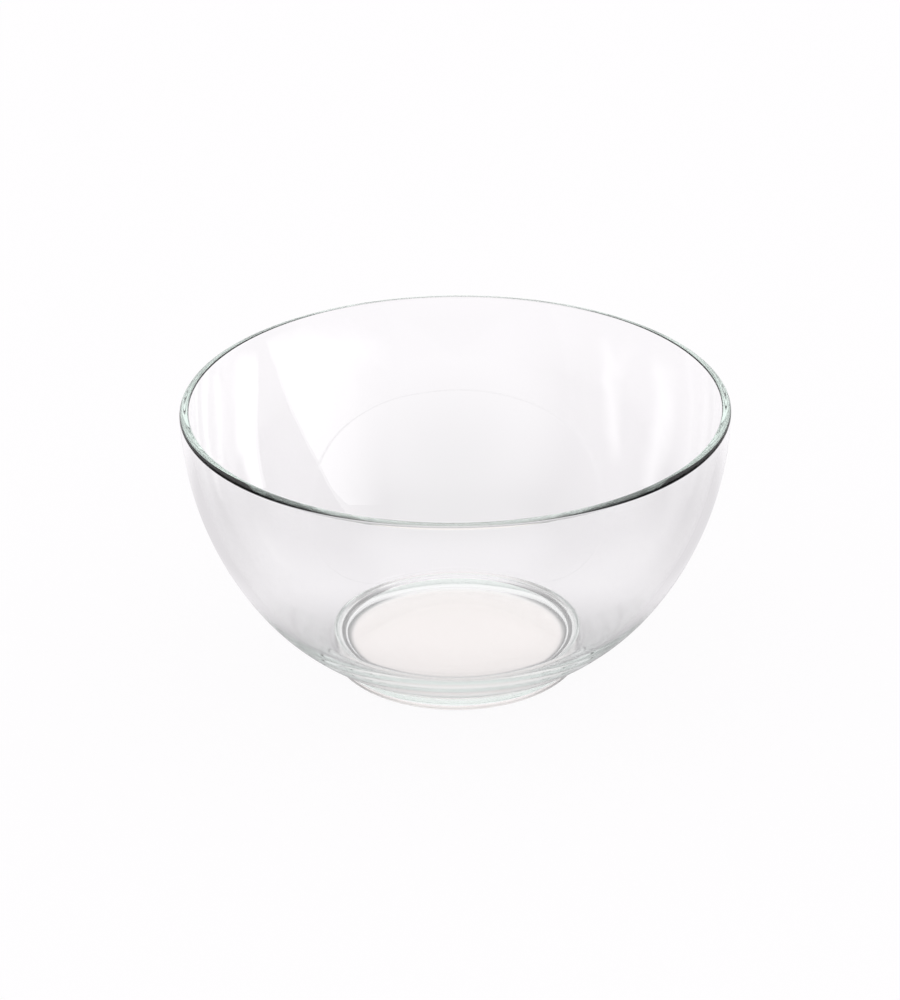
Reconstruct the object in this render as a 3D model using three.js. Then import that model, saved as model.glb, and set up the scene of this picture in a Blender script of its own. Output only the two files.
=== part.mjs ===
// Glass salad bowl: one piece of clear pressed glass, turned about +Z.
// The origin is on the table, under the middle of the foot ring.
// The whole bowl is a single revolved section: recess, foot ring, outer wall, fire-polished lip, inner wall, floor.
import * as THREE from "three";

// Driving dimensions, in millimetres and degrees

// The bowl
const RIM_DIAMETER = 230; // outside, across the lip
const HEIGHT = 119; // table to the top of the lip
const RIM_WALL = 3.8; // glass under the lip and all down the upper wall
const LIP_CREST = 0.6; // inside of the wall to the lip's highest line, which is also the radius of its inner edge
const LIP_FALL = 1.6; // drop of the lip from its highest line to the outside of the wall
const UPPER_WALL_RADIUS = 140; // outer arc of the wall, which leaves the lip upright
const UPPER_WALL_SWEEP = 33; // degrees of that arc, before the rounder lower wall begins
const BASE_WALL = 6; // glass between the floor inside and the recess underneath

// The foot ring
const FOOT_DIAMETER = 108.4; // outside, at the table, before its edge is rounded
const FOOT_HEIGHT = 6; // table to the crease where the wall begins
const FOOT_DRAFT = 3; // degrees that its outer side leans out, so that it leaves the mould
const FOOT_RING_WIDTH = 2.8; // across the ring at the table, before its edges are rounded
const FOOT_OUTER_EDGE = 1.5; // radius of the outer edge of the face that stands on the table
const FOOT_INNER_EDGE = 0.5; // radius of its inner edge
const CREASE_RADIUS = 4; // hollow fillet between the foot ring and the wall
const RECESS_DEPTH = 1.8; // table to the underside of the base, inside the ring
const RECESS_DRAFT = 10; // degrees that the ring's inner side leans in towards the base
const RECESS_RADIUS = 0.8; // hollow fillet round the edge of the recess

// How finely the round forms are faceted
const TURN_STEPS = 80;
const WALL_STEPS = 6;
const LIP_STEPS = 6;
const HEEL_STEPS = 8;
const FILLET_STEPS = 3;

const radians = THREE.MathUtils.degToRad;

// A point of the section: its distance from the axis and its height above the table.
function at(radius, height) {
  return new THREE.Vector2(radius, height);
}

// Points from one angle to another, both ends included, on a curve that may be wider than it is high.
function flattenedArc(centre, across, up, from, to, steps) {
  return Array.from({ length: steps + 1 }, (_, step) => {
    const angle = THREE.MathUtils.lerp(from, to, step / steps);
    return at(across * Math.cos(angle), up * Math.sin(angle)).add(centre);
  });
}

// The same on a true circle.
function arc(centre, radius, from, to, steps) {
  return flattenedArc(centre, radius, radius, from, to, steps);
}

// Points of the arc that rounds a corner between two straight edges.
function rounded(before, corner, after, radius) {
  const back = before.clone().sub(corner).normalize();
  const on = after.clone().sub(corner).normalize();
  const half = Math.acos(THREE.MathUtils.clamp(back.dot(on), -1, 1)) / 2;
  const bisector = back.clone().add(on).normalize();
  const centre = corner.clone().addScaledVector(bisector, radius / Math.sin(half));
  const start = corner.clone().addScaledVector(back, radius / Math.tan(half)).sub(centre).angle();
  const end = corner.clone().addScaledVector(on, radius / Math.tan(half)).sub(centre).angle();
  const turn = THREE.MathUtils.euclideanModulo(end - start + Math.PI, 2 * Math.PI) - Math.PI;
  return arc(centre, radius, start, start + turn, FILLET_STEPS);
}

// Levels and corners that the section is hung on

const rimLevel = HEIGHT - LIP_FALL;
const floorLevel = RECESS_DEPTH + BASE_WALL;
const sweep = radians(UPPER_WALL_SWEEP);
const intoBowl = at(-Math.cos(sweep), Math.sin(sweep));

const footOutside = at(FOOT_DIAMETER / 2, 0);
const footInside = at(FOOT_DIAMETER / 2 - FOOT_RING_WIDTH, 0);
const crease = at(footOutside.x + FOOT_HEIGHT * Math.tan(radians(FOOT_DRAFT)), FOOT_HEIGHT);
const recessEdge = at(footInside.x - RECESS_DEPTH * Math.tan(radians(RECESS_DRAFT)), RECESS_DEPTH);
const recessMiddle = at(0, RECESS_DEPTH);

// The upper wall: two arcs about one centre, so the glass is as thick all the way down as at the lip.
const upperCentre = at(RIM_DIAMETER / 2 - UPPER_WALL_RADIUS, rimLevel);
const innerUpperRadius = UPPER_WALL_RADIUS - RIM_WALL;
const outerJoin = upperCentre.clone().addScaledVector(intoBowl, -UPPER_WALL_RADIUS);
const innerJoin = upperCentre.clone().addScaledVector(intoBowl, -innerUpperRadius);

// The lower wall outside: the arc that carries on smoothly from the upper wall and ends on the crease.
const toCrease = crease.clone().sub(outerJoin);
const outerLowerRadius = toCrease.lengthSq() / (2 * toCrease.dot(intoBowl));
const outerLowerCentre = outerJoin.clone().addScaledVector(intoBowl, outerLowerRadius);
const creaseAngle = crease.clone().sub(outerLowerCentre).angle() - 2 * Math.PI;

// The lower wall inside: the arc that carries on smoothly from the upper wall and lies down flat on the floor.
const innerLowerRadius = (innerJoin.y - floorLevel) / (1 - Math.sin(sweep));
const innerLowerCentre = innerJoin.clone().addScaledVector(intoBowl, innerLowerRadius);

// The wall leaves the crease along this line, which the fillet there is tangent to.
const wallFromCrease = at(-Math.sin(creaseAngle), Math.cos(creaseAngle)).add(crease);
const creaseFillet = rounded(footOutside, crease, wallFromCrease, CREASE_RADIUS);
const filletReach = creaseFillet.at(-1).distanceTo(crease) / outerLowerRadius;

// The section, from the middle of the recess out, up, over the lip and down to the middle of the floor

function recessAndFoot() {
  return [
    recessMiddle,
    ...rounded(recessMiddle, recessEdge, footInside, RECESS_RADIUS),
    ...rounded(recessEdge, footInside, footOutside, FOOT_INNER_EDGE),
    ...rounded(footInside, footOutside, crease, FOOT_OUTER_EDGE),
    ...creaseFillet.slice(0, -1),
  ];
}

function outerWall() {
  const wallStart = creaseAngle + filletReach;
  return [
    ...arc(outerLowerCentre, outerLowerRadius, wallStart, -sweep, WALL_STEPS).slice(0, -1),
    ...arc(upperCentre, UPPER_WALL_RADIUS, -sweep, 0, WALL_STEPS).slice(0, -1),
  ];
}

// The flame has let the lip sag outwards: its highest line is near the inside, and it falls off in a flattened arc.
function lip() {
  const fallWidth = RIM_WALL - LIP_CREST;
  const crestRadius = RIM_DIAMETER / 2 - fallWidth;
  const innerEdge = at(crestRadius, HEIGHT - LIP_CREST);
  return [
    ...flattenedArc(at(crestRadius, rimLevel), fallWidth, LIP_FALL, 0, Math.PI / 2, LIP_STEPS).slice(0, -1),
    ...arc(innerEdge, LIP_CREST, Math.PI / 2, Math.PI, FILLET_STEPS),
  ];
}

function innerWallAndFloor() {
  return [
    ...arc(upperCentre, innerUpperRadius, 0, -sweep, WALL_STEPS).slice(0, -1),
    ...arc(innerLowerCentre, innerLowerRadius, -sweep, -Math.PI / 2, HEEL_STEPS),
    at(0, floorLevel),
  ];
}

// The bowl, turned about the section's upright edge and stood up on +Z

const section = [...recessAndFoot(), ...outerWall(), ...lip(), ...innerWallAndFloor()];
const clearGlass = new THREE.MeshStandardMaterial({
  color: 0xe9f2ee,
  roughness: 0.02,
  metalness: 0,
  transparent: true,
  opacity: 0.3,
});
const bowl = new THREE.Mesh(new THREE.LatheGeometry(section, TURN_STEPS), clearGlass);
bowl.name = "bowl";
bowl.rotation.x = Math.PI / 2;

const saladBowl = new THREE.Group();
saladBowl.add(bowl);

export default saladBowl;
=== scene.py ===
# %% [markdown]
# # A clear glass salad bowl
#
# The bowl is one piece of soda-lime glass. A hot gob is pressed into a mould, and the lip is rounded in a
# flame afterwards. Clear glass has hardly any colour of its own: the eye sees it by the surroundings that
# its two smooth surfaces bend and mirror. So two things matter here, an exact section and a studio that is
# bright behind the bowl and darker at its sides.
#
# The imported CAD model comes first. It gives the outer size and the body that the visible bowl rides on.

import math

import bpy
from mathutils import Color, Matrix, Vector
from mathutils.bvhtree import BVHTree


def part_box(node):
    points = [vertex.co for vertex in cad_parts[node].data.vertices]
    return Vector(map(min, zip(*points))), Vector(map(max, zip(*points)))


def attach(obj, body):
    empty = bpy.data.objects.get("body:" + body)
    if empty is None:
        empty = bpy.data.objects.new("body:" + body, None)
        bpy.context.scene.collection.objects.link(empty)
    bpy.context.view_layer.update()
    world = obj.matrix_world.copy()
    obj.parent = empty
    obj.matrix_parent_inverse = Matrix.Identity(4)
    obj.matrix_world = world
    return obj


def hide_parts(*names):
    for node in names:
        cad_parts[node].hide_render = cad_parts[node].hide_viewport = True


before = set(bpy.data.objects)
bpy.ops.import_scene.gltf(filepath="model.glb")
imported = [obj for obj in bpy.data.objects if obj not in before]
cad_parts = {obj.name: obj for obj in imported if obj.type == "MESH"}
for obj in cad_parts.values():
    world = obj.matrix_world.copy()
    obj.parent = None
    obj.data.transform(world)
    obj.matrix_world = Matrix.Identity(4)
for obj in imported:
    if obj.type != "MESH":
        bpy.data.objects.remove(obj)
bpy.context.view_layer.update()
lowest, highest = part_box("bowl")
RIM_DIAMETER = highest.x - lowest.x
HEIGHT = highest.z

# %% [markdown]
# ## The section of the glass
#
# A bowl like this is drawn as half a section and turned about its axis. The section runs from the middle of
# the recess underneath, out over the foot ring, up the wall, over the lip and down to the middle of the
# floor.
#
# It could be a Bezier curve drawn by eye. Here it is built from true arcs that meet tangentially, because
# glass shows every kink as a bright or dark line. Each point keeps the direction that its surface faces, so
# that the shading is exact too and doesn't depend on how fine the mesh is.

# %% Sizes of the glass
MM = 0.001
RIM_WALL = 3.8 * MM  # glass just under the lip and down the upper wall
LIP_CREST = 0.6 * MM  # from the inside of the wall to the highest line of the lip
LIP_FALL = 1.6 * MM  # drop of the lip from its crest to the outside of the wall
UPPER_WALL_RADIUS = 140 * MM
UPPER_WALL_SWEEP = math.radians(33)
BASE_WALL = 6 * MM  # glass between the floor and the recess
FOOT_DIAMETER = 108.4 * MM
FOOT_HEIGHT = 6 * MM  # table to the crease between foot and wall
FOOT_DRAFT = math.radians(3)
FOOT_RING_WIDTH = 2.8 * MM
FOOT_OUTER_EDGE = 1.5 * MM
FOOT_INNER_EDGE = 0.5 * MM
CREASE_RADIUS = 4 * MM
RECESS_DEPTH = 1.8 * MM
RECESS_DRAFT = math.radians(10)
RECESS_RADIUS = 0.8 * MM
print(f"lip {RIM_WALL / MM:.1f} mm thick, its crest {LIP_CREST / MM:.1f} mm from the inside")

# %% [markdown]
# Two helpers draw the section. One gives the points of an arc, which may be flattened to part of an
# ellipse. The other rounds the corner between two straight edges, as a mould maker's fillet does.

# %% Arcs and fillets
WALL_STEPS = 40
LIP_STEPS = 16
FILLET_STEPS = 8


def arc(centre, across, up, start, end, steps):
    """Points of a round or flattened arc, each with the direction that the glass faces there."""
    line = []
    for step in range(steps + 1):
        angle = start + (end - start) * step / steps
        point = centre + Vector((across * math.cos(angle), up * math.sin(angle)))
        along = Vector((-across * math.sin(angle), up * math.cos(angle))) * (end - start)
        facing = Vector((along.y, -along.x)).normalized()
        line.append((point, facing))
    return line


def rounded(before, corner, after, radius):
    """The arc that rounds a corner between two straight edges."""
    back = (before - corner).normalized()
    on = (after - corner).normalized()
    half = back.angle(on) / 2
    centre = corner + (back + on).normalized() * radius / math.sin(half)
    first = corner + back * radius / math.tan(half) - centre
    last = corner + on * radius / math.tan(half) - centre
    start = math.atan2(first.y, first.x)
    turn = math.remainder(math.atan2(last.y, last.x) - start, math.tau)
    return arc(centre, radius, radius, start, start + turn, FILLET_STEPS)


# %% [markdown]
# The foot is a low narrow ring. Its outer side leans out to a soft crease, and inside it the base is set up
# by almost two millimetres, so that only the ring touches the table.

# %% Recess and foot ring
DOWN = Vector((0, -1))
UP = Vector((0, 1))

foot_outside = Vector((FOOT_DIAMETER / 2, 0))
foot_inside = Vector((FOOT_DIAMETER / 2 - FOOT_RING_WIDTH, 0))
crease = Vector((foot_outside.x + FOOT_HEIGHT * math.tan(FOOT_DRAFT), FOOT_HEIGHT))
recess_edge = Vector((foot_inside.x - RECESS_DEPTH * math.tan(RECESS_DRAFT), RECESS_DEPTH))
recess_middle = Vector((0, RECESS_DEPTH))

recess_and_foot = [(recess_middle, DOWN)]
recess_and_foot += rounded(recess_middle, recess_edge, foot_inside, RECESS_RADIUS)
recess_and_foot += rounded(recess_edge, foot_inside, foot_outside, FOOT_INNER_EDGE)
recess_and_foot += rounded(foot_inside, foot_outside, crease, FOOT_OUTER_EDGE)
print(f"foot ring {FOOT_DIAMETER / MM:.0f} mm across, crease at {crease.x / MM:.1f} mm from the axis")

# %% [markdown]
# The wall leaves the lip upright on a large arc and turns into a rounder one near the base. Inside and
# outside share the centre of the upper arc, so the glass is equally thick there. Below it the two part, and
# the heel gets thicker, as it does in pressed glass.

# %% Wall and floor
lip_level = HEIGHT - LIP_FALL
floor_level = RECESS_DEPTH + BASE_WALL
inwards = Vector((-math.cos(UPPER_WALL_SWEEP), math.sin(UPPER_WALL_SWEEP)))
upper_centre = Vector((RIM_DIAMETER / 2 - UPPER_WALL_RADIUS, lip_level))
inner_upper_radius = UPPER_WALL_RADIUS - RIM_WALL
outer_join = upper_centre - inwards * UPPER_WALL_RADIUS
inner_join = upper_centre - inwards * inner_upper_radius

to_crease = crease - outer_join
outer_lower_radius = to_crease.length_squared / (2 * to_crease.dot(inwards))
outer_lower_centre = outer_join + inwards * outer_lower_radius
crease_angle = math.atan2(crease.y - outer_lower_centre.y, crease.x - outer_lower_centre.x)
wall_from_crease = crease + Vector((-math.sin(crease_angle), math.cos(crease_angle)))
crease_fillet = rounded(foot_outside, crease, wall_from_crease, CREASE_RADIUS)
wall_start = crease_angle + (crease_fillet[-1][0] - crease).length / outer_lower_radius

inner_lower_radius = (inner_join.y - floor_level) / (1 - math.sin(UPPER_WALL_SWEEP))
inner_lower_centre = inner_join + inwards * inner_lower_radius

outer_wall = crease_fillet + arc(
    outer_lower_centre, outer_lower_radius, outer_lower_radius, wall_start, -UPPER_WALL_SWEEP, WALL_STEPS
)
outer_wall += arc(upper_centre, UPPER_WALL_RADIUS, UPPER_WALL_RADIUS, -UPPER_WALL_SWEEP, 0, WALL_STEPS)
inner_wall = arc(upper_centre, inner_upper_radius, inner_upper_radius, 0, -UPPER_WALL_SWEEP, WALL_STEPS)
inner_wall += arc(
    inner_lower_centre, inner_lower_radius, inner_lower_radius, -UPPER_WALL_SWEEP, -math.pi / 2, WALL_STEPS
)
print(f"lower wall: radius {outer_lower_radius / MM:.1f} mm outside, {inner_lower_radius / MM:.1f} mm inside")

# %% [markdown]
# The lip was softened in a flame and has sagged outwards. Its crest lies near the inside of the wall, and
# from there it falls off in a flattened arc. This lean decides how much light enters the wall from above,
# which is why parts of the rim look black and the rest of it pale green.

# %% Lip and whole section
lip_width = RIM_WALL - LIP_CREST
crest_radius = RIM_DIAMETER / 2 - lip_width
lip = arc(Vector((crest_radius, lip_level)), lip_width, LIP_FALL, 0, math.pi / 2, LIP_STEPS)
lip += arc(Vector((crest_radius, HEIGHT - LIP_CREST)), LIP_CREST, LIP_CREST, math.pi / 2, math.pi, LIP_STEPS)

SAME_POINT = 0.001 * MM
section = []
for point, facing in recess_and_foot + outer_wall + lip + inner_wall + [(Vector((0, floor_level)), UP)]:
    if not section or (point - section[-1][0]).length > SAME_POINT:
        section.append((point, facing))
print(f"{len(section)} points in the section")

# %% [markdown]
# ## The bowl
#
# A Screw modifier could turn the section, but it would average the shading between neighbouring faces. The
# rings of points are written directly instead, and each vertex gets the exact direction of its arc as a
# custom normal.

# %% Turn the section about the axis
TURN_STEPS = 288


def put_in_scene(name, data):
    """A new object that shows a mesh or a camera."""
    thing = bpy.data.objects.new(name, data)
    bpy.context.scene.collection.objects.link(thing)
    return thing


def turned_glass(name, line):
    """A closed mesh from a section that starts and ends on the axis."""
    underneath, *rings, inside = line
    last_ring = len(rings) - 1
    corners = []
    normals = []
    for point, facing in rings:
        for step in range(TURN_STEPS):
            turn = Matrix.Rotation(math.tau * step / TURN_STEPS, 3, "Z")
            corners.append(turn @ Vector((point.x, 0, point.y)))
            normals.append(turn @ Vector((facing.x, 0, facing.y)))
    faces = []
    for ring in range(last_ring):
        for step in range(TURN_STEPS):
            here = ring * TURN_STEPS + step
            beside = ring * TURN_STEPS + (step + 1) % TURN_STEPS
            faces.append((here, beside, beside + TURN_STEPS, here + TURN_STEPS))
    for (point, facing), ring in ((underneath, 0), (inside, last_ring)):
        corners.append(Vector((0, 0, point.y)))
        normals.append(Vector((0, 0, facing.y)))
        for step in range(TURN_STEPS):
            here = ring * TURN_STEPS + step
            beside = ring * TURN_STEPS + (step + 1) % TURN_STEPS
            rim = (beside, here) if ring == 0 else (here, beside)
            faces.append((len(corners) - 1, *rim))
    mesh = bpy.data.meshes.new(name)
    mesh.from_pydata(corners, [], faces)
    mesh.shade_smooth()
    mesh.normals_split_custom_set_from_vertices(normals)
    return put_in_scene(name, mesh)


glass_bowl = turned_glass("glass_bowl", section)
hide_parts("bowl")
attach(glass_bowl, "root")
print(f"glass bowl: {len(glass_bowl.data.vertices)} vertices, {len(glass_bowl.data.polygons)} faces")

# %% [markdown]
# ## The glass
#
# Colours are written as sRGB hex values, as a picture editor shows them, and turned to linear light by one
# function. A second small function adds a node with its settings and links, and every material below is
# made with it.

# %% Colour and node helpers
FIRST, SECOND = 0, 1  # the inputs of a Math or Vector Math node
SHADER_A, SHADER_B = 1, 2  # the shaders of a Mix Shader node
FULL_CHANNEL = 255
OPAQUE = 1.0
BOTTLE_GREEN = "#8CDDBB"


def linear(hex_colour):
    """The linear colour of an sRGB hex value, opaque."""
    red, green, blue = (channel / FULL_CHANNEL for channel in bytes.fromhex(hex_colour.lstrip("#")))
    return (*Color((red, green, blue)).from_srgb_to_scene_linear(), OPAQUE)


def add(tree, kind, settings=None, links=None):
    """Adds a node, sets its properties and inputs, and links other nodes' outputs to its inputs."""
    node = tree.nodes.new(kind)
    for name, value in (settings or {}).items():
        if hasattr(node, str(name)):
            setattr(node, name, value)
        else:
            node.inputs[name].default_value = value
    for name, source in (links or {}).items():
        tree.links.new(source, node.inputs[name])
    return node


def empty_tree(block):
    """The cleared node tree of a material or world."""
    block.use_nodes = True
    block.node_tree.nodes.clear()
    return block.node_tree


print("bottle green in linear light:", [round(channel, 3) for channel in linear(BOTTLE_GREEN)])

# %% [markdown]
# Soda-lime glass has an index of refraction of about 1.52 and a trace of iron, which tints it green. The
# tint can't be seen across a 4 mm wall, only where light has run a long way inside the glass, as at the
# lip. That is what absorption in the volume does, so the surface itself stays colourless.
#
# The surface gets one mark of its making and one of its use. Pressed glass chills against the mould and keeps
# low waves, a few centimetres long, which make mirrored edges quiver. The standing ring is scuffed from
# sliding on shelves, so it is rough where it touches the table.

# %% Pressed soda-lime glass
GLASS_IOR = 1.52
TINT_PER_METRE = 0.8
WAVE_LENGTH = 28 * MM
WAVE_HEIGHT = 0.03 * MM
WAVE_DETAIL = 0.0  # no finer ripples on the waves
SCUFF_GRAIN = 0.8 * MM  # real scratches are finer: drawn coarser so that they show
SCUFF_HEIGHT = 0.25 * MM  # how far up the ring's edges the wear reaches
SCUFF_ROUGHNESS = 0.35
SCUFF_DETAIL = 2.0

pressed_glass = bpy.data.materials.new("pressed_soda_lime_glass")
tree = empty_tree(pressed_glass)
place = add(tree, "ShaderNodeTexCoord").outputs["Object"]
ripple = {"Scale": 1 / WAVE_LENGTH, "Detail": WAVE_DETAIL}
waves = add(tree, "ShaderNodeTexNoise", ripple, {"Vector": place})
chill = add(tree, "ShaderNodeBump", {"Distance": WAVE_HEIGHT}, {"Height": waves.outputs["Fac"]})
height = add(tree, "ShaderNodeSeparateXYZ", None, {"Vector": place}).outputs["Z"]
worn = add(
    tree,
    "ShaderNodeMapRange",
    {"From Min": SCUFF_HEIGHT, "From Max": 0.0, "To Min": 0.0, "To Max": SCUFF_ROUGHNESS},
    {"Value": height},
)
scratches = {"Scale": 1 / SCUFF_GRAIN, "Detail": SCUFF_DETAIL}
grain = add(tree, "ShaderNodeTexNoise", scratches, {"Vector": place})
scuffs = add(
    tree,
    "ShaderNodeMath",
    {"operation": "MULTIPLY"},
    {FIRST: worn.outputs["Result"], SECOND: grain.outputs["Fac"]},
)
surface = add(
    tree,
    "ShaderNodeBsdfPrincipled",
    {"Base Color": linear("#FFFFFF"), "IOR": GLASS_IOR, "Transmission Weight": 1.0},
    {"Roughness": scuffs.outputs["Value"], "Normal": chill.outputs["Normal"]},
)
tint = add(tree, "ShaderNodeVolumeAbsorption", {"Color": linear(BOTTLE_GREEN), "Density": TINT_PER_METRE})
add(
    tree,
    "ShaderNodeOutputMaterial",
    None,
    {"Surface": surface.outputs["BSDF"], "Volume": tint.outputs["Volume"]},
)
glass_bowl.data.materials.append(pressed_glass)
print(f"{pressed_glass.name}: index {GLASS_IOR}, waves {WAVE_LENGTH / MM:.0f} mm long")

# %% [markdown]
# Light that enters the lip runs down inside the wall and is mirrored from side to side dozens of times.
# Cycles stops a path after a number of bounces. A longer limit lets light through the whole rim, a shorter
# one blackens all of it, and this one gives dark arcs on both sides of the front and a pale middle between
# them.

# %% Light paths in thick glass
GLASS_BOUNCES = 36

cycles = bpy.context.scene.cycles
cycles.max_bounces = GLASS_BOUNCES
cycles.transmission_bounces = GLASS_BOUNCES
cycles.glossy_bounces = GLASS_BOUNCES
print(f"light is followed for {GLASS_BOUNCES} bounces")

# %% [markdown]
# ## The table
#
# The bowl stands on smooth white board that fills the picture. To the camera it is white, with the bowl's
# soft shadow. What the glass shows of it is another matter: there the room's light and shade are painted on
# it as glowing tones. The board is painted bright behind the bowl, apart from a painted shadow there, painted
# darker beside it, and darker still round the front of the foot with painted shade. It falls off in front,
# towards the camera, as painted shade. Under the base it has a warm painted pool of light, and a painted
# shadow where the sides of the ring touch it.
#
# Each of these tones is laid over the ones before it, by how far a spot lies behind the bowl's axis, beside
# it or away from it.

# %% Painted light and shade on the board behind the glass
OPEN_TONE = "#F6F3F6"
SOFT_STEP = {"interpolation_type": "SMOOTHSTEP", "To Min": 0.0, "To Max": 1.0}
# What, its colour, and the measures that it depends on: where it is none and where it is full, in metres
# Each row paints light or shade on the board. The board glows with these tones for rays from the glass alone.
PAINTED_BOARD_LIGHT_AND_SHADE = (
    # Painted shade in front of the bowl, where the room is dark.
    ("painted shade towards the camera", "#BEBCBE", (("depth", -0.03, -0.30),)),
    ("open and bright behind", "#FFFCFF", (("depth", 0.05, 0.30),)),
    (
        "shadow of the bowl behind it",
        "#E9E7E9",
        (("depth", 0.40, 0.10), ("depth", 0.075, 0.12), ("aside", 0.09, 0.0)),
    ),
    # Painted shade beside the bowl, where the dark side walls would leave the board unlit.
    ("painted shade beside the bowl", "#DFDCDF", (("depth", 0.19, 0.10), ("aside", 0.085, 0.14))),
    ("shade round the foot", "#AEACAE", (("depth", 0.05, -0.02), ("reach", 0.125, 0.070))),
    ("warm light caught under the base", "#F9F2F0", (("reach", 0.054, 0.046),)),
    # Painted contact shadow under the sides of the ring. The rim's arcs and the foot lines show it through
    # the glass.
    (
        "painted shadow where the ring touches",
        "#6E6E6E",
        (("reach", 0.048, 0.051), ("reach", 0.056, 0.053), ("aside", 0.020, 0.045)),
    ),
)

board_paint = bpy.data.materials.new("lacquered_white_board")
tree = empty_tree(board_paint)
spot = add(tree, "ShaderNodeNewGeometry").outputs["Position"]
spread = add(tree, "ShaderNodeSeparateXYZ", None, {"Vector": spot})
aside = add(tree, "ShaderNodeMath", {"operation": "ABSOLUTE"}, {FIRST: spread.outputs["X"]})
reach = add(tree, "ShaderNodeVectorMath", {"operation": "LENGTH"}, {FIRST: spot})
measures = {
    "depth": spread.outputs["Y"],
    "aside": aside.outputs["Value"],
    "reach": reach.outputs["Value"],
}
painted_board_shading = None
for what, tone, ramps in PAINTED_BOARD_LIGHT_AND_SHADE:
    share = None
    for measure, none, full in ramps:
        limits = {**SOFT_STEP, "From Min": none, "From Max": full}
        ramp = add(tree, "ShaderNodeMapRange", limits, {"Value": measures[measure]}).outputs["Result"]
        if share is None:
            share = ramp
        else:
            both = {FIRST: ramp, SECOND: share}
            share = add(tree, "ShaderNodeMath", {"operation": "MULTIPLY"}, both).outputs["Value"]
    links = {"Factor": share}
    if painted_board_shading is not None:
        links["A"] = painted_board_shading
    colours = {"data_type": "RGBA", "A": linear(OPEN_TONE), "B": linear(tone)}
    painted_board_shading = add(tree, "ShaderNodeMix", colours, links).outputs["Result"]
    print(f"board: {what}, {tone}")

# %% [markdown]
# Rays that come out of the glass or off its surface are told apart from the camera's own by the Light Path
# node. They meet the painted light and shade above, under a thin lacquer that mirrors more at a low angle.
# The camera meets an even white, with a small share of painted board that is really lit and so takes the
# shadow.

# %% White lacquer
GLOW_SHARE = 0.94  # the rest is lit by the room and takes the shadow
LACQUER_IOR = 1.5
LACQUER_ROUGHNESS = 0.03


def beyond_glass(tree):
    """1 for rays that come out of the glass or off its surface, 0 for all others."""
    ray = add(tree, "ShaderNodeLightPath")
    either = {FIRST: ray.outputs["Is Glossy Ray"], SECOND: ray.outputs["Is Transmission Ray"]}
    return add(tree, "ShaderNodeMath", {"operation": "MAXIMUM"}, either).outputs["Value"]


# The glass sees the painted light and shade as a glow, not as light that falls on the board.
painted_shading_glow = add(tree, "ShaderNodeEmission", {"Strength": 1.0}, {"Color": painted_board_shading})
mirror = add(tree, "ShaderNodeBsdfGlossy", {"Color": linear("#FFFFFF"), "Roughness": LACQUER_ROUGHNESS})
sheen = add(tree, "ShaderNodeFresnel", {"IOR": LACQUER_IOR})
glass_view = add(
    tree,
    "ShaderNodeMixShader",
    None,
    {"Fac": sheen.outputs["Fac"], SHADER_A: painted_shading_glow.outputs["Emission"], SHADER_B: mirror.outputs["BSDF"]},
)
glow = add(tree, "ShaderNodeEmission", {"Color": linear("#FFFEFF"), "Strength": 1.0})
lit = add(tree, "ShaderNodeBsdfDiffuse", {"Color": linear("#FBFAFB")})
plain_view = add(
    tree,
    "ShaderNodeMixShader",
    {"Fac": GLOW_SHARE},
    {SHADER_A: lit.outputs["BSDF"], SHADER_B: glow.outputs["Emission"]},
)
views = {SHADER_A: plain_view.outputs["Shader"], SHADER_B: glass_view.outputs["Shader"]}
board_look = add(tree, "ShaderNodeMixShader", None, {"Fac": beyond_glass(tree), **views})
add(tree, "ShaderNodeOutputMaterial", None, {"Surface": board_look.outputs["Shader"]})
print(f"{board_paint.name}: {GLOW_SHARE:.0%} of its white is even")

# %% [markdown]
# The board itself is one big square. It lies a hair below the ring, because two faces in the same place
# would flicker.

# %% Lay the board under the bowl
BOARD_HALF = 8.0  # metres, far past the edges of the picture
BOARD_GAP = 0.2 * MM

board_mesh = bpy.data.meshes.new("white_board")
board_corners = [
    (-BOARD_HALF, -BOARD_HALF, -BOARD_GAP),
    (BOARD_HALF, -BOARD_HALF, -BOARD_GAP),
    (BOARD_HALF, BOARD_HALF, -BOARD_GAP),
    (-BOARD_HALF, BOARD_HALF, -BOARD_GAP),
]
board_mesh.from_pydata(board_corners, [], [range(len(board_corners))])
board_mesh.materials.append(board_paint)
white_board = put_in_scene("white_board", board_mesh)
print(f"board {2 * BOARD_HALF:.0f} m wide")

# %% [markdown]
# ## The room
#
# Glass is lit by the room. Photographers call this a bright field: a big white backdrop behind the object,
# a white ceiling and a bright patch behind the camera. The walls at the sides stay dark and draw the edges
# of the glass. Each bright part is a soft round patch in the world's shader, placed by its direction from
# the bowl.

# %% Backdrop, ceiling and front light
SIDE_WALL_TONE = 0.1
# Azimuth and elevation of the middle, degrees from there to where the fade starts and ends, brightness
BACKDROP = (180, 20, 40, 62, 1.0)
CEILING = (0, 90, 22, 42, 0.95)
FRONT_LIGHT = (0, 22, 22, 60, 1.15)


def towards(azimuth, elevation):
    """The direction at an azimuth, in degrees from the camera's side towards +X, and an elevation."""
    around = math.radians(azimuth)
    above = math.radians(elevation)
    return Vector((math.sin(around) * math.cos(above), -math.cos(around) * math.cos(above), math.sin(above)))


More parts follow.
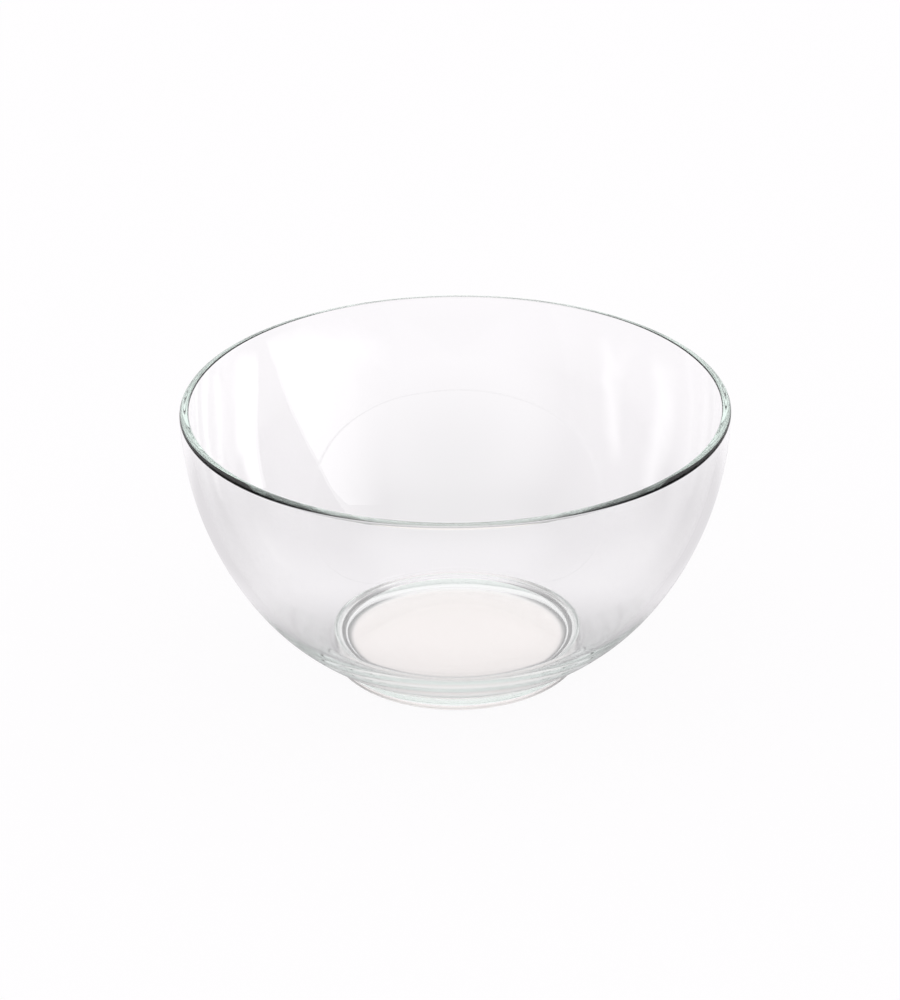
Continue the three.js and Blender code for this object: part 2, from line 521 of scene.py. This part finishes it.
room = bpy.data.worlds.new("white_studio")
bpy.context.scene.world = room
tree = empty_tree(room)
gaze = add(tree, "ShaderNodeTexCoord").outputs["Generated"]
brightness = None
for azimuth, elevation, even, end, level in (FRONT_LIGHT, CEILING, BACKDROP):
    nearness = add(
        tree,
        "ShaderNodeVectorMath",
        {"operation": "DOT_PRODUCT", SECOND: towards(azimuth, elevation)},
        {FIRST: gaze},
    )
    patch = add(
        tree,
        "ShaderNodeMapRange",
        {**SOFT_STEP, "From Min": math.cos(math.radians(end)), "From Max": math.cos(math.radians(even))},
        {"Value": nearness.outputs["Value"]},
    )
    links = {"Factor": patch.outputs["Result"]}
    if brightness is not None:
        links["A"] = brightness
    brightness = add(tree, "ShaderNodeMix", {"A": SIDE_WALL_TONE, "B": level}, links).outputs["Result"]
seen = add(tree, "ShaderNodeMix", {"A": 1.0}, {"Factor": beyond_glass(tree), "B": brightness})
white = {"Color": linear("#FFFEFF")}
backdrop = add(tree, "ShaderNodeBackground", white, {"Strength": seen.outputs["Result"]})
add(tree, "ShaderNodeOutputWorld", None, {"Surface": backdrop.outputs["Background"]})
print(f"room: side walls at {SIDE_WALL_TONE}, three soft patches")

# %% [markdown]
# ## The camera
#
# The camera stands in front of the bowl and looks down on it. Its distance, height and lens were found from
# the ellipses of the rim and the foot. The bowl sits a little low in the picture, so the camera is aimed
# above it rather than shifted. It is also turned by half a degree, because the table in the picture isn't
# quite level.

# %% Camera
PICTURE = Vector((900, 1000))  # pixels
SENSOR = 36.0  # millimetres
FOCAL_PIXELS = 2801  # the lens, counted in pixels of the picture
CAMERA_DISTANCE = 1.2  # metres
CAMERA_ELEVATION = 27.63  # degrees
CAMERA_ROLL = math.radians(-0.5)
AIM = Vector((0, 0, 55 * MM))
AIM_PIXEL = (456.3, 535.6)  # where that point lies in the picture


def line_of_sight(across, down):
    """The direction from the camera, in its own axes, to a place in the picture, counted in pixels."""
    return Vector((across - PICTURE.x / 2, PICTURE.y / 2 - down, -FOCAL_PIXELS)).normalized()


lens = bpy.data.cameras.new("camera")
lens.sensor_width = SENSOR
lens.lens = FOCAL_PIXELS * SENSOR / max(PICTURE)
camera = put_in_scene("camera", lens)
bpy.context.scene.camera = camera
camera.location = AIM + towards(0, CAMERA_ELEVATION) * CAMERA_DISTANCE
straight = (AIM - camera.location).to_track_quat("-Z", "Y")
tip = line_of_sight(*AIM_PIXEL).rotation_difference(Vector((0, 0, -1)))
roll = Matrix.Rotation(CAMERA_ROLL, 3, "Z").to_quaternion()
camera.rotation_mode = "QUATERNION"
camera.rotation_quaternion = straight @ roll @ tip
bpy.context.scene.view_settings.view_transform = "Standard"
print(f"lens {lens.lens:.1f} mm at {CAMERA_DISTANCE} m")

# %% [markdown]
# ## Lamps that the glass mirrors
#
# The bright streaks on the back wall are mirror images of lamps. A photographer moves a lamp until its
# image sits where it should. Here that is done backwards: a line of sight goes from the camera to the wall,
# is mirrored there, and the lamp is put where that line ends, on the board or at a fixed distance. So each
# lamp is described by the rows of its image in the picture.

# %% Find the place for a lamp
LAMP_DISTANCE = 1.45  # metres
LAMP_LIFT = 0.4 * MM  # of a lamp that lies on the board
STREAK_PIXEL = (250, 410)

bpy.context.view_layer.update()
glass_surface = BVHTree.FromObject(glass_bowl, bpy.context.evaluated_depsgraph_get())


def mirrored_place(across, down):
    """What the back wall mirrors at a place in the picture: a lamp's point, and the way back to the wall."""
    sight = camera.rotation_quaternion @ line_of_sight(across, down)
    over_the_axis = camera.location - sight * camera.location.y / sight.y
    spot = glass_surface.ray_cast(over_the_axis, sight)[0]
    radius = spot.xy.length
    centre = upper_centre if spot.z > inner_join.y else inner_lower_centre
    lean = centre - Vector((radius, spot.z))
    facing = Vector((*(spot.xy * lean.x / radius), lean.y)).normalized()
    mirrored = sight.reflect(facing)
    distance = LAMP_DISTANCE
    if mirrored.z < 0:
        distance = min(distance, (LAMP_LIFT - spot.z) / mirrored.z)
    return spot + mirrored * distance, -mirrored


streak_lamp = mirrored_place(*STREAK_PIXEL)[0]
print("the streak at", STREAK_PIXEL, "shows", [round(place, 2) for place in streak_lamp])

# %% [markdown]
# A lamp is a card of glowing film behind a grid of thin walls, like the egg-crate grid of a soft box, that
# lets its light out only towards the spot that mirrors it. So in the picture a lamp is seen only as its
# mirror image, and it lights nothing else. The film covers fully at some corners and thins out to nothing
# at others, which gives the soft box one crisp edge and one soft one.

# %% Cards of glowing film
# How far a ray may slant from the grid's own direction, as the Layer Weight node counts it
GRID_FULL = 1 - math.cos(math.radians(5))
GRID_SHUT = 1 - math.cos(math.radians(10))


def light_card(name, strength, rows):
    """A card from the rows of its mirror image. A place is: pixels across, pixels down, cover of the film."""
    places = [mirrored_place(across, down) for row in rows for across, down, cover in row]
    wide = len(rows[0])
    faces = []
    for row in range(len(rows) - 1):
        for first in range(row * wide, row * wide + wide - 1):
            faces.append((first, first + 1, first + wide + 1, first + wide))
    mesh = bpy.data.meshes.new(name)
    mesh.from_pydata([point for point, back in places], [], faces)
    covers = [cover for row in rows for across, down, cover in row]
    mesh.attributes.new("cover", "FLOAT", "POINT").data.foreach_set("value", covers)
    mesh.shade_smooth()
    mesh.normals_split_custom_set_from_vertices([back for point, back in places])
    film = bpy.data.materials.new(f"{name}_film")
    tree = empty_tree(film)
    slant = add(tree, "ShaderNodeLayerWeight").outputs["Facing"]
    limits = {**SOFT_STEP, "From Min": GRID_SHUT, "From Max": GRID_FULL}
    grid = add(tree, "ShaderNodeMapRange", limits, {"Value": slant}).outputs["Result"]
    cover = add(tree, "ShaderNodeAttribute", {"attribute_name": "cover"}).outputs["Fac"]
    share = add(tree, "ShaderNodeMath", {"operation": "MULTIPLY"}, {FIRST: grid, SECOND: cover})
    clear = add(tree, "ShaderNodeBsdfTransparent").outputs["BSDF"]
    glow = add(tree, "ShaderNodeEmission", {"Color": linear("#FFFFFF"), "Strength": strength})
    look = add(
        tree,
        "ShaderNodeMixShader",
        None,
        {"Fac": share.outputs["Value"], SHADER_A: clear, SHADER_B: glow.outputs["Emission"]},
    )
    add(tree, "ShaderNodeOutputMaterial", None, {"Surface": look.outputs["Shader"]})
    mesh.materials.append(film)
    card = put_in_scene(name, mesh)
    card.visible_camera = False
    card.visible_diffuse = False
    card.visible_shadow = False
    print(f"{name}: {len(faces)} faces, strength {strength}")


# %% [markdown]
# A big soft box gives the slanting sheet of light on the left of the back wall, crisp on one side and
# fading on the other. Four narrow strips give the upright streaks beside it and opposite.

# %% Soft box and strips
# Each place in a row of an image: pixels across, pixels down, cover of the film
SOFT_BOX_STRENGTH = 1.7
SOFT_BOX_IMAGE = (
    ((266, 341, 0.3), (310, 326, 0), (350, 318, 0), (395, 312, 0)),
    ((269, 347, 1), (310, 345, 1), (350, 345, 0.8), (395, 345, 0)),
    ((278, 370, 1), (312, 370, 1), (350, 370, 0.8), (395, 370, 0)),
    ((287, 397, 1), (318, 397, 1), (352, 397, 0.8), (392, 397, 0)),
    ((302, 430, 1), (328, 430, 1), (354, 430, 0.8), (388, 430, 0)),
    ((321, 466, 1), (340, 466, 0.9), (358, 466, 0.7), (386, 466, 0)),
    ((348, 505, 1), (361, 505, 0.7), (372, 505, 0.4), (386, 505, 0)),
)
LEFT_WIDE_STRIP_STRENGTH = 2.0
LEFT_WIDE_STRIP_IMAGE = (
    ((238, 352, 0), (247, 350, 0), (257, 348, 0)),
    ((232, 366, 0), (246, 366, 1), (257, 366, 1)),
    ((230, 390, 0), (245, 390, 1), (257, 390, 1)),
    ((232, 410, 0), (244, 410, 1), (256, 410, 1)),
    ((235, 440, 0), (244, 440, 1), (257, 440, 1)),
    ((239, 460, 0), (246, 460, 1), (259, 460, 1)),
    ((247, 488, 0), (254, 488, 0.8), (265, 488, 0.8)),
)
LEFT_THIN_STRIP_STRENGTH = 1.6
LEFT_THIN_STRIP_IMAGE = (
    ((211, 376, 0), (216, 376, 0.3), (220, 376, 0)),
    ((212, 390, 0), (216, 390, 1), (220, 390, 0)),
    ((213, 410, 0), (217, 410, 1), (222, 410, 0)),
    ((214, 440, 0), (219, 440, 1), (223, 440, 0)),
    ((215, 464, 0), (220, 464, 1), (224, 464, 0)),
)
RIGHT_THIN_STRIP_STRENGTH = 1.3
RIGHT_THIN_STRIP_IMAGE = (
    ((595, 336, 0), (606, 336, 0.2), (616, 336, 0)),
    ((597, 352, 0), (607, 352, 0.8), (615, 352, 0)),
    ((598, 380, 0), (606, 380, 1), (624, 380, 0)),
    ((601, 410, 0), (612, 410, 1), (622, 410, 0)),
    ((601, 432, 0), (614, 432, 1), (621, 432, 0)),
    ((597, 468, 0), (610, 468, 0), (622, 468, 0)),
)
RIGHT_WIDE_STRIP_STRENGTH = 1.3
RIGHT_WIDE_STRIP_IMAGE = (
    ((650, 354, 0), (658, 354, 0.1), (668, 354, 0)),
    ((648, 372, 0), (658, 372, 0.8), (680, 372, 0)),
    ((652, 400, 0), (664, 400, 1), (678, 400, 0)),
    ((646, 430, 0), (658, 430, 1), (674, 430, 0)),
    ((640, 460, 0), (654, 460, 0.9), (670, 460, 0)),
    ((637, 486, 0), (649, 486, 0.8), (659, 486, 0)),
)

light_card("soft_box", SOFT_BOX_STRENGTH, SOFT_BOX_IMAGE)
light_card("left_wide_strip", LEFT_WIDE_STRIP_STRENGTH, LEFT_WIDE_STRIP_IMAGE)
light_card("left_thin_strip", LEFT_THIN_STRIP_STRENGTH, LEFT_THIN_STRIP_IMAGE)
light_card("right_thin_strip", RIGHT_THIN_STRIP_STRENGTH, RIGHT_THIN_STRIP_IMAGE)
light_card("right_wide_strip", RIGHT_WIDE_STRIP_STRENGTH, RIGHT_WIDE_STRIP_IMAGE)
